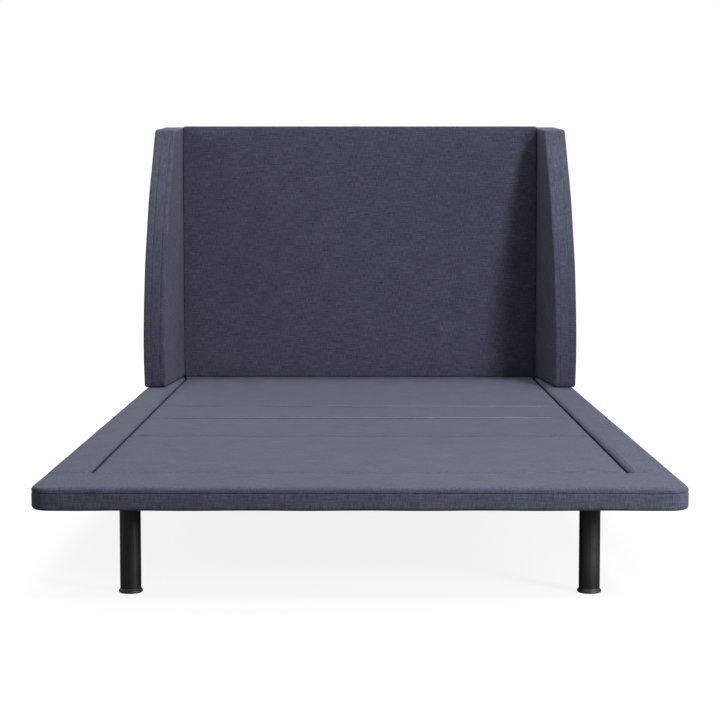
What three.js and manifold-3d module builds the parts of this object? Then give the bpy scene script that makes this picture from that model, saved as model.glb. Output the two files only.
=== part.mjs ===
// Adjustable twin bed base: a padded platform on four steel legs, with a winged headboard.
// The deck inside the platform is four hinged sections. A dual motor drive under the seat pushes
// two lift tubes: one raises the back section, the other raises the thigh and calf sections.
// Sizes are in millimetres. +Z is up and +Y points to the head end. The origin lies on the
// floor under the middle of the platform.
import * as THREE from "three";
import { mergeVertices } from "three/addons/utils/BufferGeometryUtils.js";
import Module from "manifold-3d";

const wasm = await Module();
wasm.setup();

// ---- driving dimensions ----
const SLIP = 0.3; // gap left between pieces that touch
const MATTRESS_W = 990;
const MATTRESS_L = 1905;
const MATTRESS_GAP = 6; // play between the mattress and the headboard
const SIDE_LEDGE = 76.5; // platform beside the mattress
const FOOT_LEDGE = 185; // platform in front of the mattress
const SLAB_T = 42; // thickness of the padded platform
const UNDERSIDE_Z = 167; // floor to the underside of the platform
const PLATFORM_R = 35; // corner radius of the platform in plan
const RAIL_WALL = 14; // padding beside a rail's timber core
const RAIL_CORE_T = 27;

const HEADBOARD_T = 62;
const HEADBOARD_INSET = 2; // headboard's rear face to the platform's rear edge
const HEADBOARD_TOP_Z = 914;
const HEADBOARD_CORE_T = 18;
const HEADBOARD_CORE_SIDE = 12; // padding beside the headboard's core
const WING_T = 60;
const WING_SPLAY = THREE.MathUtils.degToRad(4);
const WING_DEPTH_TOP = 114; // headboard's front face to the wing's front edge, at the top
const WING_DEPTH_FOOT = 312;
const WING_BELLY = 360; // control depth of the wing's curved front edge
const WING_TOP_REAR_Z = 914;
const WING_TOP_FRONT_Z = 900;
const BRACKET_W = 40;
const BRACKET_T = 5;
const BRACKET_TOP_Z = 540;

const TUBE_W = 50; // frame tube, flat side up
const TUBE_H = 25;
const TUBE_WALL = 2;
const TUBE_OVERLAP = 30; // frame tube under the deck's edge
const TUBE_UNDER_FOOT_RAIL = 20;

const LEG_R = 19;
const LEG_WALL = 2;
const LEG_PLATE = 96;
const LEG_PLATE_T = 5;
const LEG_PLATE_HOLE_R = 3.5;
const LEG_X = 412;
const LEG_SETBACK = 130; // platform's foot edge to the front legs' axis
const REAR_LEG_SETBACK = 140;
const FOOT_R = 21.8;
const FOOT_H = 8;
const STEM_R = 5;
const STEM_L = 30;
const STEM_PLAY = 0.5;

const BACK_L = Math.round(MATTRESS_L * 0.397); // hinge line to the back section's free end
const SEAT_L = Math.round(MATTRESS_L * 0.134);
const THIGH_L = Math.round(MATTRESS_L * 0.1733);
const HEAD_GAP = 5; // back section's free end to the headboard
const CALF_GAP = 6; // calf section's free end to the foot rail
const DECK_SIDE_GAP = 6;
const BOARD_T = 16;
const PAD_WALL = 4; // cover beside a board
const PAD_SKIRT = 2; // cover's lower edge above the underside
const PAD_END = 5; // hinge line to the end of a pad
const HINGE_DROP = 4; // deck's top face to the upper hinge axes

const KNUCKLE_R = 3;
const KNUCKLE_BORE_R = 1.9;
const PIN_R = 1.5;
const KNUCKLES = 9;
const KNUCKLE_GAP = 0.6;
const LEAF_T = 1.8;
const LEAF_REACH = 45;
const LEAF_INSET = 25; // leaf's end to the frame tube beside it

const LIFT_AXIS_DROP = 24; // platform's underside to the lift tubes' axes
const LIFT_TUBE_R = 14;
const LIFT_TUBE_BORE_R = 11.5;
const LIFT_X = 400; // middle of the lift arms
const ARM_T = 8;
const ARM_R = 15; // half height of a lift arm
const HUB_R = 17;
const HEAD_TUBE_AHEAD = 50; // back hinge to the head lift tube
const HEAD_ARM_REACH = 300;
const FOOT_TUBE_BEHIND = 200; // thigh hinge to the foot lift tube
const JOINT_PIN_R = 6;
const JOINT_BORE_R = 6.5;
const LINK_T = 9;
const LINK_R = 12;
const BEARING_T = 23;
const BEARING_BORE_R = 14.5;
const BRACKET_FOOT = 70; // length of a lift bracket's foot

const LEVER_L = 80;
const LEVER_T = 10;
const LEVER_TIP_R = 10;
const LEVER_SHANK_R = 6;
const BACK_LIFT = THREE.MathUtils.degToRad(60);
const THIGH_LIFT = THREE.MathUtils.degToRad(38);
const PUSH_GAP = 1.1; // push block to lever tip, lying flat
const DRIVE_W = 150;
const DRIVE_WALL = 3;
const DRIVE_END_ROOM = 28; // lever tip at its limit to the drive's end
const SPINDLE_DROP = 75; // lift tubes' axes to the spindles' axis
const SPINDLE_R = 6;
const SPINDLE_PLAY = 0.8;
const NUT_L = 20; // threaded part of a push block
const BLOCK_W = 32;
const BLOCK_H = 22;
const GEARBOX_L = 48;

// ---- places worked out from the sizes ----
const deckTop = UNDERSIDE_Z + SLAB_T;
const platformHalfW = MATTRESS_W / 2 + SIDE_LEDGE;
const platformL = FOOT_LEDGE + MATTRESS_L + MATTRESS_GAP + HEADBOARD_T + HEADBOARD_INSET;
const footY = -platformL / 2;
const headY = platformL / 2;
const ledgeY = footY + FOOT_LEDGE;
const headboardRearY = headY - HEADBOARD_INSET;
const headboardY = headboardRearY - HEADBOARD_T;
const openingHalfW = MATTRESS_W / 2;
const deckHalfW = openingHalfW - DECK_SIDE_GAP;
const tubeX = openingHalfW - TUBE_OVERLAP + TUBE_W / 2;
const tubeInnerX = tubeX - TUBE_W / 2;
const tubeZ = UNDERSIDE_Z - TUBE_H / 2;
const liftZ = UNDERSIDE_Z - LIFT_AXIS_DROP;
const spindleZ = liftZ - SPINDLE_DROP;

const backHinge = new THREE.Vector3(0, headboardY - HEAD_GAP - BACK_L, deckTop - HINGE_DROP);
const thighHinge = new THREE.Vector3(0, backHinge.y - SEAT_L, backHinge.z);
const kneeHinge = new THREE.Vector3(0, thighHinge.y - THIGH_L, UNDERSIDE_Z - KNUCKLE_R);
const headTube = new THREE.Vector3(0, backHinge.y + HEAD_TUBE_AHEAD, liftZ);
const headArm = new THREE.Vector3(0, HEAD_ARM_REACH, liftZ - backHinge.z);
const backPin = backHinge.clone().add(headArm);
const headArmEnd = headTube.clone().add(headArm);
const footTube = new THREE.Vector3(0, thighHinge.y - FOOT_TUBE_BEHIND, liftZ);
const footArm = kneeHinge.clone().sub(thighHinge);
const calfPin = footTube.clone().add(footArm);

// ---- materials ----
const finish = (color, roughness, metalness) =>
  new THREE.MeshStandardMaterial({ color, roughness, metalness });
const FABRIC = [0x4a4d61, 0.95, 0];
const BLACK_STEEL = [0x1d1d1f, 0.45, 0.6];
const ZINC = [0x9da0a3, 0.35, 0.9];
const PLYWOOD = [0xc8a878, 0.7, 0];
const DARK_PLASTIC = [0x2a2b2e, 0.6, 0];
const GREY_PLASTIC = [0x8c8e91, 0.55, 0];

// ---- helpers ----

// Adds a named mesh with its own material to a group.
function piece(group, name, geometry, look, x = 0, y = 0, z = 0) {
  const mesh = new THREE.Mesh(geometry, finish(...look));
  mesh.name = name;
  mesh.position.set(x, y, z);
  group.add(mesh);
  return mesh;
}

function solid(geometry) {
  const bare = geometry.clone();
  bare.deleteAttribute("normal");
  bare.deleteAttribute("uv");
  const merged = mergeVertices(bare, 1e-4);
  const vertProperties = new Float32Array(merged.attributes.position.array);
  const triVerts = new Uint32Array(merged.index.array);
  return new wasm.Manifold(new wasm.Mesh({ numProp: 3, vertProperties, triVerts }));
}

function surface(manifold) {
  const mesh = manifold.getMesh();
  const geometry = new THREE.BufferGeometry();
  geometry.setAttribute("position", new THREE.BufferAttribute(mesh.vertProperties, 3));
  geometry.setIndex(new THREE.BufferAttribute(mesh.triVerts, 1));
  geometry.computeVertexNormals();
  return geometry;
}

const join = (...parts) => surface(parts.map(solid).reduce((whole, part) => whole.add(part)));

function cut(body, ...tools) {
  return surface(tools.map(solid).reduce((left, tool) => left.subtract(tool), solid(body)));
}

function block(x0, x1, y0, y1, z0, z1) {
  const box = new THREE.BoxGeometry(x1 - x0, y1 - y0, z1 - z0);
  return box.translate((x0 + x1) / 2, (y0 + y1) / 2, (z0 + z1) / 2);
}

// A rod along X.
function rodX(radius, x0, x1, y = 0, z = 0, sides = 24) {
  const rod = new THREE.CylinderGeometry(radius, radius, x1 - x0, sides);
  return rod.rotateZ(Math.PI / 2).translate((x0 + x1) / 2, y, z);
}

// A rod along Y.
function rodY(radius, y0, y1, x = 0, z = 0, sides = 24) {
  const rod = new THREE.CylinderGeometry(radius, radius, y1 - y0, sides);
  return rod.translate(x, (y0 + y1) / 2, 0).translate(0, 0, z);
}

const sweep = (shape, depth, options = {}) =>
  new THREE.ExtrudeGeometry(shape, { depth, bevelEnabled: false, curveSegments: 6, ...options });

// A shape drawn in (y, z), swept along X from x0 to x1.
function plateX(shape, x0, x1, options) {
  const basis = new THREE.Matrix4().makeBasis(
    new THREE.Vector3(0, 1, 0),
    new THREE.Vector3(0, 0, 1),
    new THREE.Vector3(1, 0, 0),
  );
  return sweep(shape, x1 - x0, options).applyMatrix4(basis).translate(x0, 0, 0);
}

// A shape drawn in (x, z), swept along Y from y0 to y1.
function barY(shape, y0, y1, options) {
  const basis = new THREE.Matrix4().makeBasis(
    new THREE.Vector3(1, 0, 0),
    new THREE.Vector3(0, 0, 1),
    new THREE.Vector3(0, -1, 0),
  );
  return sweep(shape, y1 - y0, options).applyMatrix4(basis).translate(0, y1, 0);
}

// An outline drawn in (x, y), raised from z0 to z1 with its upper and lower edges eased.
function slab(shape, z0, z1, ease) {
  const options = {
    bevelEnabled: true,
    bevelThickness: ease,
    bevelSize: ease,
    bevelOffset: -ease,
    bevelSegments: 2,
    curveSegments: 3,
  };
  return sweep(shape, z1 - z0 - 2 * ease, options).translate(0, 0, z0 + ease);
}

function roundedRect(x0, x1, y0, y1, radius) {
  const shape = new THREE.Shape();
  shape.absarc(x1 - radius, y1 - radius, radius, 0, Math.PI / 2, false);
  shape.absarc(x0 + radius, y1 - radius, radius, Math.PI / 2, Math.PI, false);
  shape.absarc(x0 + radius, y0 + radius, radius, Math.PI, 1.5 * Math.PI, false);
  shape.absarc(x1 - radius, y0 + radius, radius, 1.5 * Math.PI, 2 * Math.PI, false);
  return shape;
}

function roundHole(x, y, radius) {
  const hole = new THREE.Path();
  hole.absarc(x, y, radius, 0, 2 * Math.PI, true);
  return hole;
}

// A bar with round ends between two points of the (y, z) plane.
function strap(a, b, radius) {
  const angle = Math.atan2(b.z - a.z, b.y - a.y);
  const shape = new THREE.Shape();
  shape.absarc(b.y, b.z, radius, angle - Math.PI / 2, angle + Math.PI / 2, false);
  shape.absarc(a.y, a.z, radius, angle + Math.PI / 2, angle + 1.5 * Math.PI, false);
  return shape;
}

const origin = new THREE.Vector3();
const between = (middle, width) => [middle - width / 2, middle + width / 2];
const sides = [["left", -1], ["right", 1]];

// ---- platform ----

// Padding over a timber core: the core's space is open underneath.
function railPad(outline, x0, x1, y0, y1) {
  const coreTop = UNDERSIDE_Z + SLIP + RAIL_CORE_T + SLIP;
  return cut(slab(outline, UNDERSIDE_Z, deckTop, 6), block(x0, x1, y0, y1, UNDERSIDE_Z - 10, coreTop));
}

function footRail(group) {
  const outline = new THREE.Shape();
  const inner = ledgeY - SLIP;
  outline.moveTo(platformHalfW, inner);
  outline.lineTo(-platformHalfW, inner);
  outline.absarc(-platformHalfW + PLATFORM_R, footY + PLATFORM_R, PLATFORM_R, Math.PI, 1.5 * Math.PI, false);
  outline.absarc(platformHalfW - PLATFORM_R, footY + PLATFORM_R, PLATFORM_R, 1.5 * Math.PI, 2 * Math.PI, false);
  const halfW = platformHalfW - RAIL_WALL;
  const y0 = footY + RAIL_WALL;
  const y1 = inner - RAIL_WALL;
  piece(group, "foot_rail_pad", railPad(outline, -halfW, halfW, y0, y1), FABRIC);
  const core = block(-halfW + SLIP, halfW - SLIP, y0 + SLIP, y1 - SLIP, 0, RAIL_CORE_T);
  piece(group, "foot_rail_core", core, PLYWOOD, 0, 0, UNDERSIDE_Z + SLIP);
}

function sideRail(group, side, sign) {
  const x0 = openingHalfW;
  const x1 = platformHalfW;
  const outline = new THREE.Shape();
  const corner = sign > 0 ? 0 : Math.PI / 2;
  const centreX = sign * (x1 - PLATFORM_R);
  outline.moveTo(sign > 0 ? x0 : -x1, ledgeY + SLIP);
  outline.lineTo(sign > 0 ? x1 : -x0, ledgeY + SLIP);
  if (sign < 0) outline.lineTo(-x0, headY);
  outline.absarc(centreX, headY - PLATFORM_R, PLATFORM_R, corner, corner + Math.PI / 2, false);
  if (sign > 0) outline.lineTo(x0, headY);
  const edges = [sign * (x0 + RAIL_WALL), sign * (x1 - RAIL_WALL)].sort((a, b) => a - b);
  const y0 = ledgeY + RAIL_WALL;
  const y1 = headY - RAIL_WALL;
  piece(group, `side_rail_pad_${side}`, railPad(outline, ...edges, y0, y1), FABRIC);
  const core = block(edges[0] + SLIP, edges[1] - SLIP, y0 + SLIP, y1 - SLIP, 0, RAIL_CORE_T);
  piece(group, `side_rail_core_${side}`, core, PLYWOOD, 0, 0, UNDERSIDE_Z + SLIP);
}

// The rail under the headboard has a slot for each headboard bracket.
function headRail(group) {
  const halfW = openingHalfW - SLIP;
  const body = block(-halfW, halfW, headboardY, headY, UNDERSIDE_Z + SLIP, deckTop);
  const slots = sides.map(([, sign]) => {
    const [x0, x1] = between(sign * bracketX, BRACKET_W + 2 * SLIP);
    return block(x0, x1, bracketY - SLIP, bracketY + BRACKET_T + SLIP, 0, deckTop + 10);
  });
  piece(group, "head_rail", cut(body, ...slots), FABRIC);
}

// ---- headboard ----

const coreY = headboardRearY - HEADBOARD_T / 2 - HEADBOARD_CORE_T / 2;
const bracketY = coreY + HEADBOARD_CORE_T + SLIP;
const headboardZ = deckTop + SLIP;
const headboardRearHalfW = openingHalfW + 2 - HEADBOARD_T * Math.tan(WING_SPLAY);
const headboardCoreHalfW = headboardRearHalfW - HEADBOARD_CORE_SIDE;
const bracketX = headboardCoreHalfW - BRACKET_W / 2 - 5;

function headboard(group) {
  const front = openingHalfW + 2 - SLIP;
  const rear = headboardRearHalfW - SLIP;
  const outline = new THREE.Shape();
  outline.moveTo(-front, headboardY);
  outline.lineTo(front, headboardY);
  outline.lineTo(rear, headboardRearY);
  outline.lineTo(-rear, headboardRearY);
  const coreTop = HEADBOARD_TOP_Z - HEADBOARD_CORE_SIDE;
  const room = block(
    -headboardCoreHalfW, headboardCoreHalfW,
    coreY - SLIP, coreY + HEADBOARD_CORE_T + SLIP,
    0, coreTop + SLIP,
  );
  const pockets = sides.map(([, sign]) => {
    const [x0, x1] = between(sign * bracketX, BRACKET_W + 2 * SLIP);
    return block(x0, x1, coreY, bracketY + BRACKET_T + SLIP, 0, BRACKET_TOP_Z + SLIP);
  });
  const pad = cut(slab(outline, headboardZ, HEADBOARD_TOP_Z, 5), room, ...pockets);
  piece(group, "headboard_pad", pad, FABRIC);
  const halfW = headboardCoreHalfW - SLIP;
  const core = block(-halfW, halfW, coreY, coreY + HEADBOARD_CORE_T, headboardZ, coreTop);
  piece(group, "headboard_core", core, PLYWOOD);
}

// A wing stands on the side rail and splays outward. Its front edge is a curve.
function wing(group, side, sign) {
  const rear = -4; // keeps the splayed rear edge inside the platform
  const bottom = headboardZ;
  const footDepth = -(HEADBOARD_T + WING_DEPTH_FOOT);
  const topDepth = -(HEADBOARD_T + WING_DEPTH_TOP);
  const height = WING_TOP_FRONT_Z - bottom;
  const outline = new THREE.Shape();
  outline.moveTo(rear, bottom);
  outline.lineTo(rear, WING_TOP_REAR_Z);
  outline.lineTo(topDepth + 10, WING_TOP_FRONT_Z);
  outline.quadraticCurveTo(topDepth, WING_TOP_FRONT_Z, topDepth - 3, WING_TOP_FRONT_Z - 10);
  outline.quadraticCurveTo(-(HEADBOARD_T + WING_BELLY), bottom + 0.47 * height, footDepth, bottom);
  const ease = 5;
  const options = {
    bevelEnabled: true,
    bevelThickness: ease,
    bevelSize: ease,
    bevelOffset: -ease,
    bevelSegments: 2,
    curveSegments: 12,
  };
  const geometry = plateX(outline, ease, WING_T - ease, options);
  if (sign < 0) geometry.translate(-WING_T, 0, 0);
  const mesh = piece(group, `wing_${side}`, geometry, FABRIC, sign * headboardRearHalfW, headboardRearY, 0);
  mesh.rotation.z = sign * WING_SPLAY;
}

// A flat steel bar from the end of the frame tube up behind the headboard's core.
function headboardBracket(group, side, sign) {
  const bar = block(...between(0, BRACKET_W), 0, BRACKET_T, UNDERSIDE_Z - TUBE_H, BRACKET_TOP_Z);
  piece(group, `headboard_bracket_${side}`, bar, BLACK_STEEL, sign * bracketX, bracketY, 0);
}

// ---- steel frame and legs ----

function tubeSection(width) {
  const outer = roundedRect(...between(0, width), ...between(0, TUBE_H), 3);
  const inner = roundedRect(...between(0, width - 2 * TUBE_WALL), ...between(0, TUBE_H - 2 * TUBE_WALL), 1);
  outer.holes.push(new THREE.Path(inner.getPoints(2)));
  return outer;
}

function frame(group) {
  const coarse = { curveSegments: 2 };
  for (const [side, sign] of sides) {
    const tube = barY(tubeSection(TUBE_W), ledgeY - TUBE_UNDER_FOOT_RAIL, bracketY - SLIP, coarse);
    piece(group, `frame_tube_${side}`, tube, BLACK_STEEL, sign * tubeX, 0, tubeZ);
  }
  const crossings = [
    ["foot", ledgeY + 75, 40],
    ["seat", (backHinge.y + thighHinge.y) / 2, 40],
    ["head", headY - REAR_LEG_SETBACK, TUBE_W],
  ];
  const halfL = tubeInnerX - SLIP;
  for (const [name, y, width] of crossings) {
    const tube = plateX(tubeSection(width), -halfL, halfL, coarse);
    piece(group, `frame_tube_${name}`, tube, BLACK_STEEL, 0, y, tubeZ);
  }
}

// A steel tube with a welded top plate. The plug in its lower end takes the foot's stem.
function leg(group, name, x, y, topZ) {
  const plateZ = topZ - SLIP - LEG_PLATE_T;
  const bottom = FOOT_H + SLIP;
  const bore = STEM_R + STEM_PLAY;
  const profile = [
    [0, plateZ - 3],
    [LEG_R - LEG_WALL, plateZ - 3],
    [LEG_R - LEG_WALL, bottom + 14],
    [bore, bottom + 14],
    [bore, bottom],
    [LEG_R, bottom],
    [LEG_R, plateZ + 1],
    [0, plateZ + 1],
  ].map(([r, z]) => new THREE.Vector2(r, z));
  const tube = new THREE.LatheGeometry(profile, 28).rotateX(Math.PI / 2);
  const outline = roundedRect(...between(0, LEG_PLATE), ...between(0, LEG_PLATE), 8);
  const reach = LEG_PLATE / 2 - 13;
  for (const hx of [-reach, reach]) {
    for (const hy of [-reach, reach]) {
      outline.holes.push(roundHole(hx, hy, LEG_PLATE_HOLE_R));
    }
  }
  const plate = sweep(outline, LEG_PLATE_T).translate(0, 0, plateZ);
  piece(group, name, join(tube, plate), BLACK_STEEL, x, y, 0);
}

// A round levelling foot on a threaded stem.
function levellingFoot(group, name, x, y) {
  const profile = [
    [0, 0],
    [FOOT_R - 2, 0],
    [FOOT_R - 0.4, 1.2],
    [FOOT_R, 3],
    [FOOT_R - 0.4, 4.8],
    [FOOT_R - 2.2, 6.6],
    [FOOT_R - 3, FOOT_H],
    [STEM_R, FOOT_H],
    [STEM_R, FOOT_H + STEM_L],
    [0, FOOT_H + STEM_L],
  ].map(([r, z]) => new THREE.Vector2(r, z));
  const geometry = new THREE.LatheGeometry(profile, 28).rotateX(Math.PI / 2);
  piece(group, name, geometry, DARK_PLASTIC, x, y, 0);
}

// ---- deck sections ----

// A plywood board and the padded cover over it, between two places along Y.
function section(group, name, from, to, hingedFrom, hingedTo) {
  const y0 = from + (hingedFrom ? PAD_END : 0) - group.position.y;
  const y1 = to - (hingedTo ? PAD_END : 0) - group.position.y;
  const boardZ = UNDERSIDE_Z + SLIP - group.position.z;
  const boardHalfW = deckHalfW - PAD_WALL - SLIP;
  const end = PAD_WALL + SLIP;
  const board = block(-boardHalfW, boardHalfW, y0 + end, y1 - end, boardZ, boardZ + BOARD_T);
  piece(group, `${name}_board`, board, PLYWOOD);
  const halfW = deckHalfW - PAD_WALL;
  const outline = roundedRect(-deckHalfW, deckHalfW, y0, y1, 6);
  const padZ = UNDERSIDE_Z + PAD_SKIRT - group.position.z;
  const room = block(
    -halfW, halfW,
    y0 + PAD_WALL, y1 - PAD_WALL,
    boardZ - 10, boardZ + BOARD_T + SLIP,
  );
  piece(group, `${name}_pad`, cut(slab(outline, padZ, deckTop - group.position.z, 3), room), FABRIC);
}

// One leaf of a full-width hinge, its axis at the local origin. reach is towards +Y or -Y.
// A hung leaf has an upright web below the axis and its flange at the web's foot, and a low
// leaf's flange lies level with its knuckles.
function hingeLeaf(reach, first, pinned, flangeZ) {
  const halfL = tubeInnerX - LEAF_INSET;
  const pitch = (2 * halfL) / KNUCKLES;
  const hung = flangeZ < 0;
  const along = (near, far) => (reach > 0 ? [near, far] : [-far, -near]);
  const clear = KNUCKLE_R + KNUCKLE_GAP;
  const flangeNear = hung ? 1.7 : clear;
  const parts = [block(-halfL, halfL, ...along(flangeNear, LEAF_REACH), flangeZ, flangeZ + LEAF_T)];
  if (hung) parts.push(block(-halfL, halfL, ...along(1.7, 3.7), flangeZ, -clear));
  for (let i = first; i < KNUCKLES; i += 2) {
    const x0 = -halfL + i * pitch + KNUCKLE_GAP / 2;
    const x1 = x0 + pitch - KNUCKLE_GAP;
    const tab = hung ? [...along(1.7, 3.7), -clear - 1, 0] : [...along(0, clear + 1), flangeZ, flangeZ + LEAF_T];
    parts.push(rodX(KNUCKLE_R, x0, x1, 0, 0, 16), block(x0, x1, ...tab));
  }
  if (pinned) return join(...parts, rodX(PIN_R, -halfL, halfL, 0, 0, 12));
  return cut(join(...parts), rodX(KNUCKLE_BORE_R, -halfL - 5, halfL + 5, 0, 0, 16));
}

const hungFlange = UNDERSIDE_Z - 2 - backHinge.z;
const lowFlange = UNDERSIDE_Z - 2 - kneeHinge.z;

// ---- lift gear ----

// A steel foot under a board and a plate down to the pin that a link or arm turns on.
function liftBracket(group, name, sign, pin, plateX0, plateX1, pinX0, pinX1) {
  const at = pin.clone().sub(group.position);
  const top = UNDERSIDE_Z - SLIP / 3 - group.position.z;
  const shape = new THREE.Shape();
  const half = BRACKET_FOOT / 2 - 5;
  shape.moveTo(at.y + half, top - 2);
  shape.lineTo(at.y + half, top);
  shape.lineTo(at.y - half, top);
  shape.lineTo(at.y - half, top - 2);
  shape.absarc(at.y, at.z, JOINT_PIN_R + 7, Math.PI, 2 * Math.PI, false);
  const mirrored = (a, b) => (sign > 0 ? [a, b] : [-b, -a]);
  const plate = plateX(shape, ...mirrored(plateX0, plateX1));
  const middle = (plateX0 + plateX1) / 2;
  const foot = block(
    ...mirrored(middle - 20, middle + 20),
    ...between(at.y, BRACKET_FOOT),
    top - 3, top,
  );
  piece(group, name, join(plate, foot, rodX(JOINT_PIN_R, ...mirrored(pinX0, pinX1), at.y, at.z)), ZINC);
}

// A lift tube with its two arms and the lever that the drive pushes, welded together.
// Its axis is the local origin. lean is the lever's angle from straight down.
function liftTube(arm, lean, armBored) {
  const halfL = tubeInnerX - 4;
  const tip = new THREE.Vector3(0, Math.sin(lean) * LEVER_L, -Math.cos(lean) * LEVER_L);
  const halfT = LEVER_T / 2;
  const parts = [
    rodX(LIFT_TUBE_R, -halfL, halfL, 0, 0, 32),
    rodX(HUB_R, -halfT, halfT, 0, 0, 32),
    plateX(strap(origin, tip, LEVER_SHANK_R), -halfT, halfT),
    rodX(LEVER_TIP_R, -halfT, halfT, tip.y, tip.z, 32),
  ];
  const bores = [rodX(LIFT_TUBE_BORE_R, -halfL - 5, halfL + 5, 0, 0, 24)];
  for (const [, sign] of sides) {
    const [x0, x1] = between(sign * LIFT_X, ARM_T);
    parts.push(plateX(strap(origin, arm, ARM_R), x0, x1));
    parts.push(rodX(HUB_R, x0, x1, 0, 0, 32));
    if (armBored) {
      bores.push(rodX(JOINT_BORE_R, x0 - 5, x1 + 5, arm.y, arm.z));
    } else {
      const inner = sign * (LIFT_X - ARM_T / 2 - LINK_T - 4);
      parts.push(rodX(JOINT_PIN_R, ...[inner, sign * LIFT_X].sort((a, b) => a - b), arm.y, arm.z));
    }
  }
  return cut(join(...parts), ...bores);
}

// A short link between a lift arm's end and the back section's bracket.
function liftLink(group, side, sign) {
  const toPin = backPin.clone().sub(headArmEnd);
  const shape = strap(origin, toPin, LINK_R);
  shape.holes.push(roundHole(0, 0, JOINT_BORE_R), roundHole(toPin.y, toPin.z, JOINT_BORE_R));
  const outer = sign * (LIFT_X - ARM_T / 2 - 1);
  const [x0, x1] = [outer, outer - sign * LINK_T].sort((a, b) => a - b);
  piece(group, `head_lift_link_${side}`, plateX(shape, x0, x1, { curveSegments: 12 }), ZINC);
}

// A plastic block with a round bore, fixed to the frame tube's inner face.
function bearing(group, name, sign, at) {
  const shape = roundedRect(...between(0, 44), ...between(0, 36), 8);
  shape.holes.push(roundHole(0, 0, BEARING_BORE_R));
  const block3 = plateX(shape, ...between(0, BEARING_T), { curveSegments: 16 });
  piece(group, name, block3, GREY_PLASTIC, sign * (tubeInnerX - SLIP - BEARING_T / 2), at.y, at.z);
}

// ---- drive ----

const headLean = -BACK_LIFT / 2;
const footLean = THIGH_LIFT / 2;
const headReach = Math.sin(BACK_LIFT / 2) * LEVER_L;
const footReach = Math.sin(THIGH_LIFT / 2) * LEVER_L;
const driveHeadY = headTube.y + headReach + LEVER_TIP_R + DRIVE_END_ROOM;
const driveFootY = footTube.y - footReach - LEVER_TIP_R - DRIVE_END_ROOM;
const driveBottomZ = spindleZ - 20;
const driveTopZ = liftZ - LIFT_TUBE_R - 3;
const driveSplitZ = driveBottomZ + 44;
const headFaceY = headTube.y - headReach - LEVER_TIP_R - PUSH_GAP;
const footFaceY = footTube.y + footReach + LEVER_TIP_R + PUSH_GAP;
const headBlockL = 2 * headReach + NUT_L + 30;
const footBlockL = 2 * footReach + NUT_L + 28;

function driveShell(z0, z1, openZ0, openZ1, name, group, look, extra, cuts) {
  const half = DRIVE_W / 2;
  const inner = half - DRIVE_WALL;
  const outline = roundedRect(-half, half, driveFootY, driveHeadY, 14);
  const body = sweep(outline, z1 - z0).translate(0, 0, z0);
  const room = block(
    -inner, inner,
    driveFootY + DRIVE_WALL, driveHeadY - DRIVE_WALL,
    openZ0, openZ1,
  );
  piece(group, name, cut(extra.length ? join(body, ...extra) : body, room, ...cuts), look);
}

function drive(group) {
  driveShell(
    driveBottomZ, driveSplitZ,
    driveBottomZ + DRIVE_WALL, driveSplitZ + 10,
    "drive_housing", group, DARK_PLASTIC, [], [],
  );
  const seatTubeY = (backHinge.y + thighHinge.y) / 2;
  const lugs = sides.map(([, sign]) => {
    const [x0, x1] = between(sign * 50, 20);
    return block(x0, x1, ...between(seatTubeY, 40), driveTopZ - 1, UNDERSIDE_Z - TUBE_H - SLIP);
  });
  const slots = [headTube, footTube].map((tube) =>
    block(-LEVER_T / 2 - 4, LEVER_T / 2 + 4, ...between(tube.y, 64), driveSplitZ - 10, liftZ),
  );
  driveShell(
    driveSplitZ + SLIP, driveTopZ,
    driveSplitZ - 10, driveTopZ - DRIVE_WALL,
    "drive_cover", group, DARK_PLASTIC, lugs, slots,
  );
}

// A gearbox on the spindle's line with its motor lying to one side.
function gearMotor(group, name, y, turn) {
  const box = block(-22, 22, ...between(0, GEARBOX_L - 2 * SLIP), -14, 20);
  const motor = rodX(14, 18, 66, 0, 2);
  piece(group, name, join(box, motor), GREY_PLASTIC, 0, y, spindleZ).rotation.z = turn;
}

// A long push block that screws along its spindle, with the spindle hidden in its bore.
function pushBlock(name, faceY, length, towards) {
  const group = new THREE.Group();
  const [y0, y1] = towards > 0 ? [-length, 0] : [0, length];
  const body = block(...between(0, BLOCK_W), y0, y1, ...between(0, BLOCK_H));
  const blind = 10;
  const bore = towards > 0 ? [y0 - 5, -blind] : [blind, y1 + 5];
  const geometry = cut(body, rodY(SPINDLE_R + SPINDLE_PLAY, ...bore));
  piece(group, name, geometry, GREY_PLASTIC, 0, faceY, spindleZ);
  return group;
}

function spindle(name, gearY, tipY) {
  const group = new THREE.Group();
  const towards = Math.sign(tipY - gearY);
  const ends = (a, b) => (towards > 0 ? [a, b] : [-b, -a]);
  const reach = Math.abs(tipY - gearY);
  const geometry = join(rodY(SPINDLE_R, ...ends(0, reach)), rodY(9, ...ends(0, 6)));
  piece(group, name, geometry, ZINC, 0, gearY, spindleZ);
  return group;
}

// ---- assembly ----

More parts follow.
